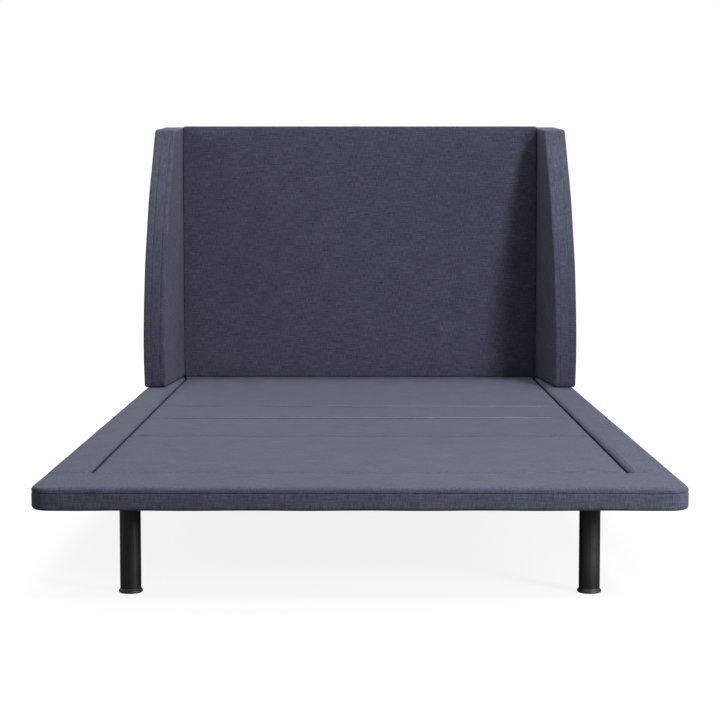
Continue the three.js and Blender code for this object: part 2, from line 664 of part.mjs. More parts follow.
function baseAssembly() {
  const group = new THREE.Group();
  footRail(group);
  headRail(group);
  headboard(group);
  frame(group);
  drive(group);
  for (const [side, sign] of sides) {
    sideRail(group, side, sign);
    wing(group, side, sign);
    headboardBracket(group, side, sign);
    leg(group, `leg_front_${side}`, sign * LEG_X, footY + LEG_SETBACK, UNDERSIDE_Z);
    leg(group, `leg_rear_${side}`, sign * LEG_X, headY - REAR_LEG_SETBACK, UNDERSIDE_Z - TUBE_H);
    bearing(group, `lift_bearing_head_${side}`, sign, headTube);
    bearing(group, `lift_bearing_foot_${side}`, sign, footTube);
  }
  section(group, "seat", thighHinge.y, backHinge.y, true, true);
  const backLeaf = hingeLeaf(-1, 0, false, hungFlange);
  piece(group, "seat_hinge_leaf_back", backLeaf, ZINC, 0, backHinge.y, backHinge.z);
  const thighLeaf = hingeLeaf(1, 0, false, hungFlange);
  piece(group, "seat_hinge_leaf_thigh", thighLeaf, ZINC, 0, thighHinge.y, thighHinge.z);
  return group;
}

function backSection() {
  const group = new THREE.Group();
  group.position.copy(backHinge);
  section(group, "back", backHinge.y, backHinge.y + BACK_L, true, false);
  piece(group, "back_hinge_leaf", hingeLeaf(1, 1, true, hungFlange), ZINC);
  const outer = LIFT_X + ARM_T / 2;
  const inner = LIFT_X - ARM_T / 2;
  for (const [side, sign] of sides) {
    liftBracket(group, `back_lift_bracket_${side}`, sign, backPin, inner, outer, inner - LINK_T - 4, outer);
  }
  return group;
}

function thighSection() {
  const group = new THREE.Group();
  group.position.copy(thighHinge);
  section(group, "thigh", kneeHinge.y, thighHinge.y, true, true);
  piece(group, "thigh_hinge_leaf_seat", hingeLeaf(-1, 1, true, hungFlange), ZINC);
  const kneeLeaf = hingeLeaf(1, 0, false, lowFlange);
  piece(group, "thigh_hinge_leaf_knee", kneeLeaf, ZINC, 0, footArm.y, footArm.z);
  return group;
}

function calfSection() {
  const group = new THREE.Group();
  group.position.copy(kneeHinge);
  section(group, "calf", ledgeY + CALF_GAP, kneeHinge.y, false, true);
  piece(group, "calf_hinge_leaf", hingeLeaf(-1, 1, true, lowFlange), ZINC);
  const outer = LIFT_X - ARM_T / 2 - 3;
  for (const [side, sign] of sides) {
    const pinEnd = LIFT_X + ARM_T / 2 + 2;
    liftBracket(group, `calf_lift_bracket_${side}`, sign, calfPin, outer - ARM_T, outer, outer - 4, pinEnd);
  }
  return group;
}

function liftGear() {
  const group = new THREE.Group();
  const head = liftTube(headArm, headLean, false);
  piece(group, "head_lift_tube", head, BLACK_STEEL, 0, headTube.y, headTube.z);
  const foot = liftTube(footArm, footLean, true);
  piece(group, "foot_lift_tube", foot, BLACK_STEEL, 0, footTube.y, footTube.z);
  const links = new THREE.Group();
  links.position.copy(headArmEnd);
  for (const [side, sign] of sides) liftLink(links, side, sign);
  group.add(links);
  return group;
}

function driveGear() {
  const group = new THREE.Group();
  const headGearY = headFaceY - headBlockL - 16;
  const footGearY = footFaceY + footBlockL + 16;
  gearMotor(group, "drive_motor_head", headGearY - GEARBOX_L / 2, 0);
  gearMotor(group, "drive_motor_foot", footGearY + GEARBOX_L / 2, Math.PI);
  group.add(pushBlock("push_block_head", headFaceY, headBlockL, 1));
  group.add(pushBlock("push_block_foot", footFaceY, footBlockL, -1));
  const headTip = headFaceY - headBlockL + 2 * headReach + NUT_L;
  const footTip = footFaceY + footBlockL - 2 * footReach - NUT_L;
  group.add(spindle("spindle_head", headGearY, headTip));
  group.add(spindle("spindle_foot", footGearY, footTip));
  return group;
}

function feet() {
  const group = new THREE.Group();
  for (const [side, sign] of sides) {
    levellingFoot(group, `levelling_foot_front_${side}`, sign * LEG_X, footY + LEG_SETBACK);
    levellingFoot(group, `levelling_foot_rear_${side}`, sign * LEG_X, headY - REAR_LEG_SETBACK);
  }
  return group;
}

const bed = new THREE.Group();
bed.add(baseAssembly(), backSection(), thighSection(), calfSection(), liftGear(), driveGear(), feet());

export default bed;
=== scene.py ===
"""Adjustable twin bed base: upholstered platform, winged headboard, hinged deck and lift gear."""
import math

import bmesh
import bpy
import numpy as np
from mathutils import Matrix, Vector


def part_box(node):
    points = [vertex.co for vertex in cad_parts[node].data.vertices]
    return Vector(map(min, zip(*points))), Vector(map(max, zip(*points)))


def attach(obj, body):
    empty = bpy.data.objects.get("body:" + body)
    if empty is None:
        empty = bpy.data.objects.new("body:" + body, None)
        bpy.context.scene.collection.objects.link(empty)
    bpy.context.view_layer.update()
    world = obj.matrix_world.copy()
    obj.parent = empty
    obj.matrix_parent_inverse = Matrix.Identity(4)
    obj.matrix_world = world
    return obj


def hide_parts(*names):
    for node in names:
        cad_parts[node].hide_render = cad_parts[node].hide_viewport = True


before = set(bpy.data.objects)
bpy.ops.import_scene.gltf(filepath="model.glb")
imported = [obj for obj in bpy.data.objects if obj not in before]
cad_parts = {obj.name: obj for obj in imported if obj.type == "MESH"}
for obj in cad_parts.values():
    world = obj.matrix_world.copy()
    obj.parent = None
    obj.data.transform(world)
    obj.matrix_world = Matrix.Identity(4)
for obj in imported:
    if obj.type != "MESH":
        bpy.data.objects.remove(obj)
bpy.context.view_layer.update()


# ---------------------------------------------------------------- studio
# A pale floor in a plain white room. Room and floor look white but light the bed only faintly,
# so the key light from high on the right gives the wings their shadows. A broad light hangs over
# the headboard, a small one grazes the foot, and two weak ones fill in the left and the rear.
ROOM_LIGHT = 0.31
ROOM_SEEN = 1.0
FLOOR_LIGHT = 0.10
FLOOR_SEEN = 1.0
# SHADE is how far the floor's glow drops in the painted shadow under the bed.
SHADE = 0.13
SHADE_REACH = (1.05, 1.75)
SHADE_START = 0.55
SHADE_END = 1.25
FLOOR_COLOUR = (0.10, 0.10, 0.10, 1.0)
FLOOR_REACH = 60.0
FLOOR_DROP = 0.0005
WHITE = (1.0, 1.0, 1.0, 1.0)


def seen_and_lit(tree, seen, lit):
    """A strength that is one number where it is looked at and another where it gives light."""
    path = tree.nodes.new("ShaderNodeLightPath")
    strength = tree.nodes.new("ShaderNodeMath")
    strength.operation = "MULTIPLY_ADD"
    tree.links.new(path.outputs["Is Camera Ray"], strength.inputs[0])
    strength.inputs[1].default_value = seen - lit
    strength.inputs[2].default_value = lit
    return strength.outputs[0]


room = bpy.data.worlds.new("white_room")
room.use_nodes = True
room_glow = room.node_tree.nodes["Background"]
room_glow.inputs["Color"].default_value = WHITE
room_strength = seen_and_lit(room.node_tree, ROOM_SEEN, ROOM_LIGHT)
room.node_tree.links.new(room_strength, room_glow.inputs["Strength"])
bpy.context.scene.world = room
bpy.context.scene.view_settings.view_transform = "Standard"

floor_mesh = bpy.data.meshes.new("studio_floor")
floor_edge = [(-1, -1), (1, -1), (1, 1), (-1, 1)]
floor_corners = [(FLOOR_REACH * x, FLOOR_REACH * y, -FLOOR_DROP) for x, y in floor_edge]
floor_mesh.from_pydata(floor_corners, [], [(0, 1, 2, 3)])
studio_floor = bpy.data.objects.new("studio_floor", floor_mesh)
bpy.context.collection.objects.link(studio_floor)
floor_finish = bpy.data.materials.new("pale_floor")
floor_finish.use_nodes = True
floor_tree = floor_finish.node_tree
floor_shader = floor_tree.nodes["Principled BSDF"]
floor_shader.inputs["Base Color"].default_value = FLOOR_COLOUR
floor_shader.inputs["Roughness"].default_value = 1.0
floor_shader.inputs["Specular IOR Level"].default_value = 0.0
floor_shader.inputs["Emission Color"].default_value = WHITE

# The floor's glow drops by SHADE in an oval under the bed, a painted shadow, and clears to white
# round it.
floor_place = floor_tree.nodes.new("ShaderNodeTexCoord")
spread = floor_tree.nodes.new("ShaderNodeMapping")
spread.inputs["Scale"].default_value = (1 / SHADE_REACH[0], 1 / SHADE_REACH[1], 0.0)
ring = floor_tree.nodes.new("ShaderNodeVectorMath")
ring.operation = "LENGTH"
shade = floor_tree.nodes.new("ShaderNodeMapRange")
shade.interpolation_type = "SMOOTHSTEP"
shade.inputs["From Min"].default_value = SHADE_START
shade.inputs["From Max"].default_value = SHADE_END
shade.inputs["To Min"].default_value = -SHADE
shade.inputs["To Max"].default_value = 0.0
glow = floor_tree.nodes.new("ShaderNodeMath")
glow.operation = "ADD"
floor_tree.links.new(floor_place.outputs["Object"], spread.inputs["Vector"])
floor_tree.links.new(spread.outputs[0], ring.inputs[0])
floor_tree.links.new(ring.outputs["Value"], shade.inputs["Value"])
floor_tree.links.new(seen_and_lit(floor_tree, FLOOR_SEEN, FLOOR_LIGHT), glow.inputs[0])
floor_tree.links.new(shade.outputs[0], glow.inputs[1])
floor_tree.links.new(glow.outputs[0], floor_shader.inputs["Emission Strength"])
floor_mesh.materials.append(floor_finish)


def soft_box(name, place, target, width, watts):
    """A square area light at place, facing target."""
    lamp = bpy.data.lights.new(name, "AREA")
    lamp.size = width
    lamp.energy = watts
    light = bpy.data.objects.new(name, lamp)
    direction = np.subtract(target, place)
    light.location = place
    light.rotation_euler = (
        math.acos(-direction[2] / np.linalg.norm(direction)),
        0.0,
        math.atan2(direction[1], direction[0]) - math.pi / 2,
    )
    bpy.context.collection.objects.link(light)


soft_box("key_light", place=(2.35, -2.5, 3.2), target=(0.0, 0.4, 0.45), width=0.6, watts=110)
soft_box("overhead_light", place=(0.4, 0.9, 4.0), target=(0.2, -0.3, 0.2), width=2.0, watts=262)
soft_box("foot_light", place=(1.7, -2.3, 0.8), target=(0.4, -1.0, 0.2), width=0.5, watts=60)
soft_box("left_fill", place=(-3.4, -1.4, 1.2), target=(0.0, -0.6, 0.3), width=2.0, watts=22)
soft_box("rear_fill", place=(-2.6, 4.0, 2.4), target=(0.0, 0.6, 0.4), width=2.2, watts=60)

CAMERA_PLACE = (0.0, -4.2886, 0.6916)
CAMERA_PITCH_DOWN = math.radians(4.681)
CAMERA_LENS = 94.08
CAMERA_SENSOR = 36.0

lens = bpy.data.cameras.new("studio_camera")
lens.lens = CAMERA_LENS
lens.sensor_width = CAMERA_SENSOR
camera = bpy.data.objects.new("studio_camera", lens)
camera.location = CAMERA_PLACE
camera.rotation_euler = (math.pi / 2 - CAMERA_PITCH_DOWN, 0.0, 0.0)
bpy.context.collection.objects.link(camera)
bpy.context.scene.camera = camera


# ---------------------------------------------------------------- foot rail
# The platform's front rail is a plywood core in foam under woven cloth. The cloth's top panel
# folds over the edge and meets the side band in a seam. Its lower edge is stapled underneath.
YARN_PITCH = 0.0015
YARN_ROUND = 0.6
YARN_RELIEF = 0.00035
WARP_SLUB_STRETCH = (560, 62, 1)
WEFT_SLUB_STRETCH = (27, 520, 1)
MOTTLE_SCALE = 16.0
FLECK_SCALE = 520.0
CLOTH_DARK = (0.016, 0.018, 0.030)
CLOTH_NAVY = (0.038, 0.042, 0.064)
CLOTH_BLUE = (0.060, 0.066, 0.092)
CLOTH_PALE = (0.125, 0.135, 0.168)


def make_finish(name, roughness, metallic=0.0):
    """An empty node material and the parts that every finish wires up."""
    finish = bpy.data.materials.new(name)
    finish.use_nodes = True
    nodes = finish.node_tree.nodes
    shader = nodes["Principled BSDF"]
    shader.inputs["Roughness"].default_value = roughness
    shader.inputs["Metallic"].default_value = metallic
    return finish, finish.node_tree, shader


def math_node(tree, operation, first, second=None, third=None):
    """One Math node whose inputs are sockets or plain numbers."""
    node = tree.nodes.new("ShaderNodeMath")
    node.operation = operation
    for slot, value in enumerate((first, second, third)):
        if value is None:
            continue
        if isinstance(value, (int, float)):
            node.inputs[slot].default_value = value
        else:
            tree.links.new(value, node.inputs[slot])
    return node.outputs[0]


def noise_node(tree, vector, scale, detail=2.0, roughness=0.5):
    """Fractal noise read at vector."""
    node = tree.nodes.new("ShaderNodeTexNoise")
    node.inputs["Scale"].default_value = scale
    node.inputs["Detail"].default_value = detail
    node.inputs["Roughness"].default_value = roughness
    tree.links.new(vector, node.inputs["Vector"])
    return node.outputs[0]


def stretch_node(tree, vector, scale):
    """The vector times a different factor along each axis."""
    node = tree.nodes.new("ShaderNodeMapping")
    node.inputs["Scale"].default_value = scale
    tree.links.new(vector, node.inputs["Vector"])
    return node.outputs[0]


def ramp_node(tree, value, stops):
    """A colour ramp through (place, colour) stops."""
    node = tree.nodes.new("ShaderNodeValToRGB")
    while len(node.color_ramp.elements) < len(stops):
        node.color_ramp.elements.new(0.5)
    for element, (place, colour) in zip(node.color_ramp.elements, stops):
        element.position = place
        element.color = (*colour, 1.0)
    tree.links.new(value, node.inputs[0])
    return node.outputs[0]


def bump_node(tree, shader, height, depth):
    """Raises the shading by height times depth metres."""
    node = tree.nodes.new("ShaderNodeBump")
    node.inputs["Strength"].default_value = 1.0
    node.inputs["Distance"].default_value = depth
    tree.links.new(height, node.inputs["Height"])
    tree.links.new(node.outputs[0], shader.inputs["Normal"])


def heathered_cloth():
    """Plain weave in metres on the cloth map. sin(warp) * sin(weft) is positive where the warp
    lies on top, so its size is the yarn's height and its sign picks which yarn's slubs show."""
    finish, tree, shader = make_finish("heathered_navy_cloth", 0.95)
    chart = tree.nodes.new("ShaderNodeUVMap")
    chart.uv_map = "cloth"
    parts = tree.nodes.new("ShaderNodeSeparateXYZ")
    tree.links.new(chart.outputs[0], parts.inputs[0])
    turns = math.pi / YARN_PITCH
    warp = math_node(tree, "SINE", math_node(tree, "MULTIPLY", parts.outputs[0], turns))
    weft = math_node(tree, "SINE", math_node(tree, "MULTIPLY", parts.outputs[1], turns))
    crossing = math_node(tree, "MULTIPLY", warp, weft)
    yarn = math_node(tree, "POWER", math_node(tree, "ABSOLUTE", crossing), YARN_ROUND)
    on_top = math_node(tree, "GREATER_THAN", crossing, 0.0)

    along_warp = stretch_node(tree, chart.outputs[0], WARP_SLUB_STRETCH)
    warp_slubs = noise_node(tree, along_warp, 1.0, detail=3.0, roughness=0.6)
    along_weft = stretch_node(tree, chart.outputs[0], WEFT_SLUB_STRETCH)
    weft_slubs = noise_node(tree, along_weft, 1.0, detail=3.0, roughness=0.6)
    slubs = tree.nodes.new("ShaderNodeMix")
    tree.links.new(on_top, slubs.inputs[0])
    tree.links.new(weft_slubs, slubs.inputs[2])
    tree.links.new(warp_slubs, slubs.inputs[3])
    mottle = noise_node(tree, chart.outputs[0], MOTTLE_SCALE, detail=4.0, roughness=0.6)
    fleck = noise_node(tree, chart.outputs[0], FLECK_SCALE, detail=1.0)
    tone = math_node(tree, "MULTIPLY", slubs.outputs[0], 0.85)
    # The yarn's height adds to the tone, so raised yarn is paler: painted shade in the hollows
    # between yarns.
    for pattern, share in ((mottle, 0.10), (fleck, 0.15), (yarn, 0.06)):
        tone = math_node(tree, "MULTIPLY_ADD", pattern, share, tone)
    stops = [(0.40, CLOTH_DARK), (0.54, CLOTH_NAVY), (0.66, CLOTH_BLUE), (0.82, CLOTH_PALE)]
    tree.links.new(ramp_node(tree, tone, stops), shader.inputs["Base Color"])
    shader.inputs["Specular IOR Level"].default_value = 0.15
    shader.inputs["Sheen Weight"].default_value = 0.03
    shader.inputs["Sheen Roughness"].default_value = 0.45
    shader.inputs["Sheen Tint"].default_value = (0.80, 0.84, 1.0, 1.0)
    relief = math_node(tree, "MULTIPLY_ADD", slubs.outputs[0], 0.8, yarn)
    bump_node(tree, shader, relief, YARN_RELIEF)
    return finish


cloth = heathered_cloth()
ARC_STEP = 0.003
ARC_LEAST = 4
MERGE_REACH = 1e-6


def four_corners(low, high, radii):
    """The (x, y, radius) corners of a rectangle, counter-clockwise from its low corner."""
    places = [(low[0], low[1]), (high[0], low[1]), (high[0], high[1]), (low[0], high[1])]
    return [(*place, radius) for place, radius in zip(places, radii)]


def rounded_outline(corners, step):
    """A closed loop, counter-clockwise, through (x, y, radius) corners. Each corner is an arc,
    centre + radius * (cos, sin), between its two tangent points. Each straight run is cut into
    steps, as start + run * place / pieces."""
    points = []
    count = len(corners)
    for i, (x, y, radius) in enumerate(corners):
        here = np.array([x, y])
        before = np.array(corners[i - 1][:2]) - here
        after = np.array(corners[(i + 1) % count][:2]) - here
        before = before / np.linalg.norm(before)
        after = after / np.linalg.norm(after)
        if radius <= 0:
            points.append(here[None])
            continue
        half = math.acos(np.clip(before @ after, -1, 1)) / 2
        centre = here + (before + after) / np.linalg.norm(before + after) * radius / math.sin(half)
        start = here + before * radius / math.tan(half)
        first = math.atan2(*(start - centre)[::-1])
        sweep = math.pi - 2 * half
        angles = first + np.linspace(0, sweep, max(ARC_LEAST, int(radius * sweep / ARC_STEP)) + 1)
        points.append(centre + radius * np.column_stack([np.cos(angles), np.sin(angles)]))
    loop = np.concatenate(points)
    runs = np.roll(loop, -1, axis=0) - loop
    pieces = np.maximum(1, (np.linalg.norm(runs, axis=1) / step).astype(int))
    run = np.repeat(np.arange(len(loop)), pieces)
    place = np.arange(len(run)) - np.repeat(np.cumsum(pieces) - pieces, pieces)
    return loop[run] + runs[run] * (place / pieces[run])[:, None]


def ring_quads(ring_count, steps):
    """The corners of every quad between neighbouring rings, each ring closing on itself."""
    ring, step = np.meshgrid(np.arange(ring_count - 1), np.arange(steps), indexing="ij")
    after = (step + 1) % steps
    corner = [ring * steps + step, ring * steps + after]
    corner += [(ring + 1) * steps + after, (ring + 1) * steps + step]
    return np.stack(corner, axis=-1).reshape(-1, 4)


def close_skin(mesh):
    """Merges the points of poles and folded corners, and turns every face outwards."""
    skin = bmesh.new()
    skin.from_mesh(mesh)
    bmesh.ops.remove_doubles(skin, verts=skin.verts, dist=MERGE_REACH)
    bmesh.ops.recalc_face_normals(skin, faces=skin.faces)
    skin.to_mesh(mesh)
    skin.free()


def cloth_mesh(name, rings, charts):
    """A closed skin over rings of points (ring, step, 3). charts holds the cloth map of each
    quad's four corners. The first and last rings each close on one point."""
    ring_count, steps = rings.shape[:2]
    mesh = bpy.data.meshes.new(name)
    quads = ring_quads(ring_count, steps)
    mesh.vertices.add(ring_count * steps)
    mesh.vertices.foreach_set("co", rings.reshape(-1))
    mesh.loops.add(quads.size)
    mesh.loops.foreach_set("vertex_index", quads.reshape(-1))
    mesh.polygons.add(len(quads))
    mesh.polygons.foreach_set("loop_start", np.arange(len(quads)) * 4)
    mesh.update(calc_edges=True)
    chart = mesh.uv_layers.new(name="cloth")
    chart.data.foreach_set("uv", charts.reshape(-1))
    close_skin(mesh)
    mesh.polygons.foreach_set("use_smooth", np.ones(len(mesh.polygons), dtype=bool))
    mesh.validate()
    piece = bpy.data.objects.new(name, mesh)
    bpy.context.collection.objects.link(piece)
    return piece


EDGE_SHARES = np.array([0.03, 0.08, 0.16, 0.28, 0.42, 0.58, 0.75, 0.90, 1.0])
EDGE_STEPS = 6
CROWN_RUN = 0.025
SEAM_DEPTH = 0.0014
SEAM_WIDTH = 0.0011
SEAM_RINGS = (-0.0032, -0.002, -0.0012, -0.0006, 0, 0.0006, 0.0012, 0.002, 0.0032)
STITCH_PITCH = 0.019
STITCH_PULL = 0.35
TUCK_INNER = 0.006
TUCK_OUTER = 0.004
BAND_STEPS = 7
CLEAR_OF_EDGE = 1.01
RIPPLE_RATE = (31, 23)
RIPPLE_START = (1.3, 0.4)


def upholster(name, outline, thick, place, edge=0.006, crown=0.002, seams=(), tuck=0.0, waves=0.0004):
    """A padded slab. Rings step in from the outline: edge arcs below and above the side band,
    then scaled copies of the outline down to one point. The upper face rises by
    crown * (1 - (1 - share) * exp(-inset / CROWN_RUN)), where share runs from 0 at the edge to 1
    in the middle. Each seam is a groove in the band, SEAM_DEPTH * exp(-(distance / SEAM_WIDTH)^2)
    deep and pulled in once a stitch. tuck lifts the underside to where the cloth is stapled, and
    waves is the height of a slow ripple, sin(31 x + 1.3) * sin(23 y + 0.4).
    place turns (x, y, height) in the slab's own plane into room coordinates."""
    along = np.roll(outline, -1, axis=0) - np.roll(outline, 1, axis=0)
    along /= np.linalg.norm(along, axis=1)[:, None]
    outward = np.column_stack([along[:, 1], -along[:, 0]])
    run = np.linalg.norm(np.roll(outline, -1, axis=0) - outline, axis=1)
    length = np.concatenate([[0.0], np.cumsum(run)])
    middle = (outline.min(axis=0) + outline.max(axis=0)) / 2
    hem = outline - outward * edge
    phase = np.linspace(0, math.pi / 2, EDGE_STEPS)

    rings, flat_chart, band_height = [], [], []

    def add(points, height, chart, band):
        turns = np.sin(points * RIPPLE_RATE + RIPPLE_START)
        ripple = waves * turns[:, 0] * turns[:, 1]
        rings.append(np.column_stack([points, np.full(len(points), height) + ripple]))
        flat_chart.append(chart)
        band_height.append(band)

    for share in EDGE_SHARES[::-1]:
        points = middle + (hem - middle) * (1 - share)
        add(points, tuck, points, None)
    if tuck:
        for inset, height in ((TUCK_INNER, tuck), (TUCK_OUTER, 0.0)):
            add(hem - outward * inset, height, hem - outward * inset, None)
    for angle in phase:
        points = outline - outward * edge * (1 - math.sin(angle))
        height = edge * (1 - math.cos(angle))
        add(points, height, points, height)
    top = thick - crown
    band = {edge * CLEAR_OF_EDGE, top - edge * CLEAR_OF_EDGE}
    band |= set(np.linspace(edge, top - edge, BAND_STEPS)[1:-1])
    band |= {seam + offset for seam in seams for offset in SEAM_RINGS}
    pucker = 1 + STITCH_PULL * np.sin(length[:-1] * 2 * math.pi / STITCH_PITCH)
    for height in sorted(h for h in band if edge < h < top - edge):
        groove = sum(SEAM_DEPTH * math.exp(-(((height - seam) / SEAM_WIDTH) ** 2)) for seam in seams)
        points = outline - outward * (groove * pucker)[:, None]
        fold = top - edge - height + edge * math.pi / 2
        add(points, height, hem + outward * fold, height)
    for angle in phase:
        points = outline - outward * edge * (1 - math.cos(angle))
        height = top - edge + edge * math.sin(angle)
        add(points, height, hem + outward * edge * (math.pi / 2 - angle), height)
    for share in EDGE_SHARES:
        points = middle + (hem - middle) * (1 - share)
        inset = np.linalg.norm(points - hem, axis=1)
        add(points, top + crown * (1 - (1 - share) * np.exp(-inset / CROWN_RUN)), points, None)

    rings = np.array(rings)
    flats = np.array(flat_chart)
    last_seam = max(seams, default=thick)
    charts = np.empty((len(rings) - 1, len(outline), 4, 2))
    for k in range(len(rings) - 1):
        low, high = band_height[k], band_height[k + 1]
        if low is None or high is None or high > last_seam + MERGE_REACH:
            inner, outer = flats[k], flats[k + 1]
            corners = [inner, np.roll(inner, -1, axis=0), np.roll(outer, -1, axis=0), outer]
        else:
            ends = [(length[:-1], low), (length[1:], low), (length[1:], high), (length[:-1], high)]
            corners = [np.column_stack([run, np.full(len(outline), height)]) for run, height in ends]
        charts[k] = np.stack(corners, axis=1)
    piece = cloth_mesh(name, place(rings), charts)
    piece.data.materials.append(cloth)
    return piece


def cover(piece, node, body):
    """The padded piece stands for a CAD node and rides on its body."""
    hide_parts(node)
    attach(piece, body)


def lying(bottom):
    """Places a slab flat, its underside at height bottom."""
    return lambda rings: rings + np.array([0.0, 0.0, bottom])


RAIL_EDGE = 0.007
RAIL_CROWN = 0.0015
RAIL_SEAM = 0.030
RAIL_TUCK = 0.0015
PLATFORM_CORNER = 0.035
BUTT_CORNER = 0.0075
FOOT_RAIL_STEP = 0.004

low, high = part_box("foot_rail_pad")
foot_corners = four_corners(low, high, [PLATFORM_CORNER] * 2 + [BUTT_CORNER] * 2)
foot_outline = rounded_outline(foot_corners, FOOT_RAIL_STEP)
foot_rail = upholster(
    "foot_rail_cushion", foot_outline, high[2] - low[2], lying(low[2]),
    edge=RAIL_EDGE, crown=RAIL_CROWN, seams=(RAIL_SEAM,), tuck=RAIL_TUCK,
)
cover(foot_rail, "foot_rail_pad", "base")


# ---------------------------------------------------------------- side rails and head rail
# The side rails are made as the foot rail is and butt against it. The head rail closes the
# platform under the headboard, its cloth pulled straight over the timber.
SIDE_RAIL_STEP = 0.005
CLOTH_STEP = 0.006
HEAD_RAIL_CORNER = 0.006
HEAD_RAIL_EDGE = 0.004

for side, rear_corners in (
    ("left", [BUTT_CORNER, PLATFORM_CORNER]),
    ("right", [PLATFORM_CORNER, BUTT_CORNER]),
):
    node = f"side_rail_pad_{side}"
    low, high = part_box(node)
    side_corners = four_corners(low, high, [BUTT_CORNER] * 2 + rear_corners)
    rail = upholster(
        f"side_rail_cushion_{side}", rounded_outline(side_corners, SIDE_RAIL_STEP),
        high[2] - low[2], lying(low[2]),
        edge=RAIL_EDGE, crown=RAIL_CROWN, seams=(RAIL_SEAM,), tuck=RAIL_TUCK,
    )
    cover(rail, node, "base")

low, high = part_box("head_rail")
head_outline = rounded_outline(four_corners(low, high, [HEAD_RAIL_CORNER] * 4), CLOTH_STEP)
head_rail = upholster(
    "head_rail_cover", head_outline, high[2] - low[2], lying(low[2]),
    edge=HEAD_RAIL_EDGE, crown=0.0, seams=(RAIL_SEAM,),
)
cover(head_rail, "head_rail", "base")


# ---------------------------------------------------------------- headboard
# A plywood panel in foam. The front panel of cloth is sewn to a boxing strip that runs round
# the edge, so a seam follows the front edge and another the rear.
HEADBOARD_EDGE = 0.0035
HEADBOARD_SEAMS = (0.012, 0.048)
HEADBOARD_CROWN = 0.003
HEADBOARD_WAVES = 0.0006
HEADBOARD_FOOT_CORNER = 0.006
HEADBOARD_TOP_CORNER = 0.008


def standing(rear):
    """Stands a slab up: its plane becomes (x, z) and its height comes forward from the rear."""
    return lambda rings: np.stack([rings[..., 0], rear - rings[..., 2], rings[..., 1]], axis=-1)


low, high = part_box("headboard_pad")
headboard_radii = [HEADBOARD_FOOT_CORNER] * 2 + [HEADBOARD_TOP_CORNER] * 2
headboard_corners = four_corners((low[0], low[2]), (high[0], high[2]), headboard_radii)
headboard_outline = rounded_outline(headboard_corners, CLOTH_STEP)
headboard = upholster(
    "headboard_cushion", headboard_outline, high[1] - low[1], standing(high[1]),
    edge=HEADBOARD_EDGE, crown=HEADBOARD_CROWN, seams=HEADBOARD_SEAMS, waves=HEADBOARD_WAVES,
)
cover(headboard, "headboard_pad", "base")


# ---------------------------------------------------------------- wings
# Each wing is a padded panel that stands on the side rail and leans outward in plan. Its front
# edge sweeps forward towards the platform, and a boxing strip runs round it between two seams.
WING_SPLAY = math.radians(4)
WING_EDGE = 0.006
WING_THICK = 0.060
WING_REAR = -0.004
WING_TOP_DEPTH = 0.176
WING_FOOT_DEPTH = 0.374
WING_BELLY = 0.422
WING_TOP_REAR = 0.914
WING_TOP_FRONT = 0.900
WING_TOP_CORNER = 0.012
WING_FOOT_CORNER = 0.010
WING_SEAMS = (0.013, 0.038)
WING_CROWN = 0.003
WING_WAVES = 0.0005
SWEEP_STEPS = 40
SWEEP_ENDS = 2
BROW_FORWARD = 0.003
BROW_DROP = 0.010
BELLY_HEIGHT = 0.47

# The front edge is the quadratic curve brow (1 - t)^2 + 2 belly t (1 - t) + toe t^2.
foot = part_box("wing_left")[0][2]
t = np.linspace(0, 1, SWEEP_STEPS)[:, None]
brow = np.array([-WING_TOP_DEPTH - BROW_FORWARD, WING_TOP_FRONT - BROW_DROP])
belly = np.array([-WING_BELLY, foot + BELLY_HEIGHT * (WING_TOP_FRONT - foot)])
toe = np.array([-WING_FOOT_DEPTH, foot])
sweep_edge = brow * (1 - t) ** 2 + 2 * belly * t * (1 - t) + toe * t**2
wing_corners = [(WING_REAR, foot, WING_FOOT_CORNER), (WING_REAR, WING_TOP_REAR, WING_TOP_CORNER)]
wing_corners += [(-WING_TOP_DEPTH, WING_TOP_FRONT, WING_TOP_CORNER)]
wing_corners += [(y, z, 0.0) for y, z in sweep_edge[SWEEP_ENDS:-SWEEP_ENDS]]
wing_corners += [(*toe, WING_FOOT_CORNER)]
wing_outline = rounded_outline(wing_corners, CLOTH_STEP)


# The wings' inner faces meet the headboard's sides at its front face.
HEADBOARD_HALF_WIDTH = 0.497
HEADBOARD_THICK = 0.062
rear_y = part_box("headboard_pad")[1][1]
rear_half_width = HEADBOARD_HALF_WIDTH - HEADBOARD_THICK * math.tan(WING_SPLAY)


def winged(sign):
    """Stands a slab up in (y, z) with its height across the wing, then turns it by the splay."""
    def place(rings):
        across = rings[..., 2] if sign > 0 else -rings[..., 2]
        depth = rings[..., 0]
        cos, sin = math.cos(sign * WING_SPLAY), math.sin(sign * WING_SPLAY)
        x = sign * rear_half_width + across * cos - depth * sin
        y = rear_y + across * sin + depth * cos
        return np.stack([x, y, rings[..., 1]], axis=-1)
    return place


for side, sign in (("left", -1), ("right", 1)):
    wing = upholster(
        f"wing_cushion_{side}", wing_outline, WING_THICK, winged(sign),
        edge=WING_EDGE, crown=WING_CROWN, seams=WING_SEAMS, waves=WING_WAVES,
    )
    cover(wing, f"wing_{side}", "base")


# ---------------------------------------------------------------- deck sections
# The back, seat, thigh and calf sections each have thin foam on a plywood board under one
# cloth cover, stapled under the board's edge. Only the seat is fixed.
SECTION_CORNER = 0.010
SECTION_EDGE = 0.006
SECTION_CROWN = 0.003
SECTION_SEAM = 0.027

for section, body in (("back", "back"), ("seat", "base"), ("thigh", "thigh"), ("calf", "calf")):
    node = f"{section}_pad"
    low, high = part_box(node)
    section_outline = rounded_outline(four_corners(low, high, [SECTION_CORNER] * 4), CLOTH_STEP)
    pad = upholster(
        f"{section}_section_cushion", section_outline, high[2] - low[2], lying(low[2]),
        edge=SECTION_EDGE, crown=SECTION_CROWN, seams=(SECTION_SEAM,),
    )
    cover(pad, node, body)


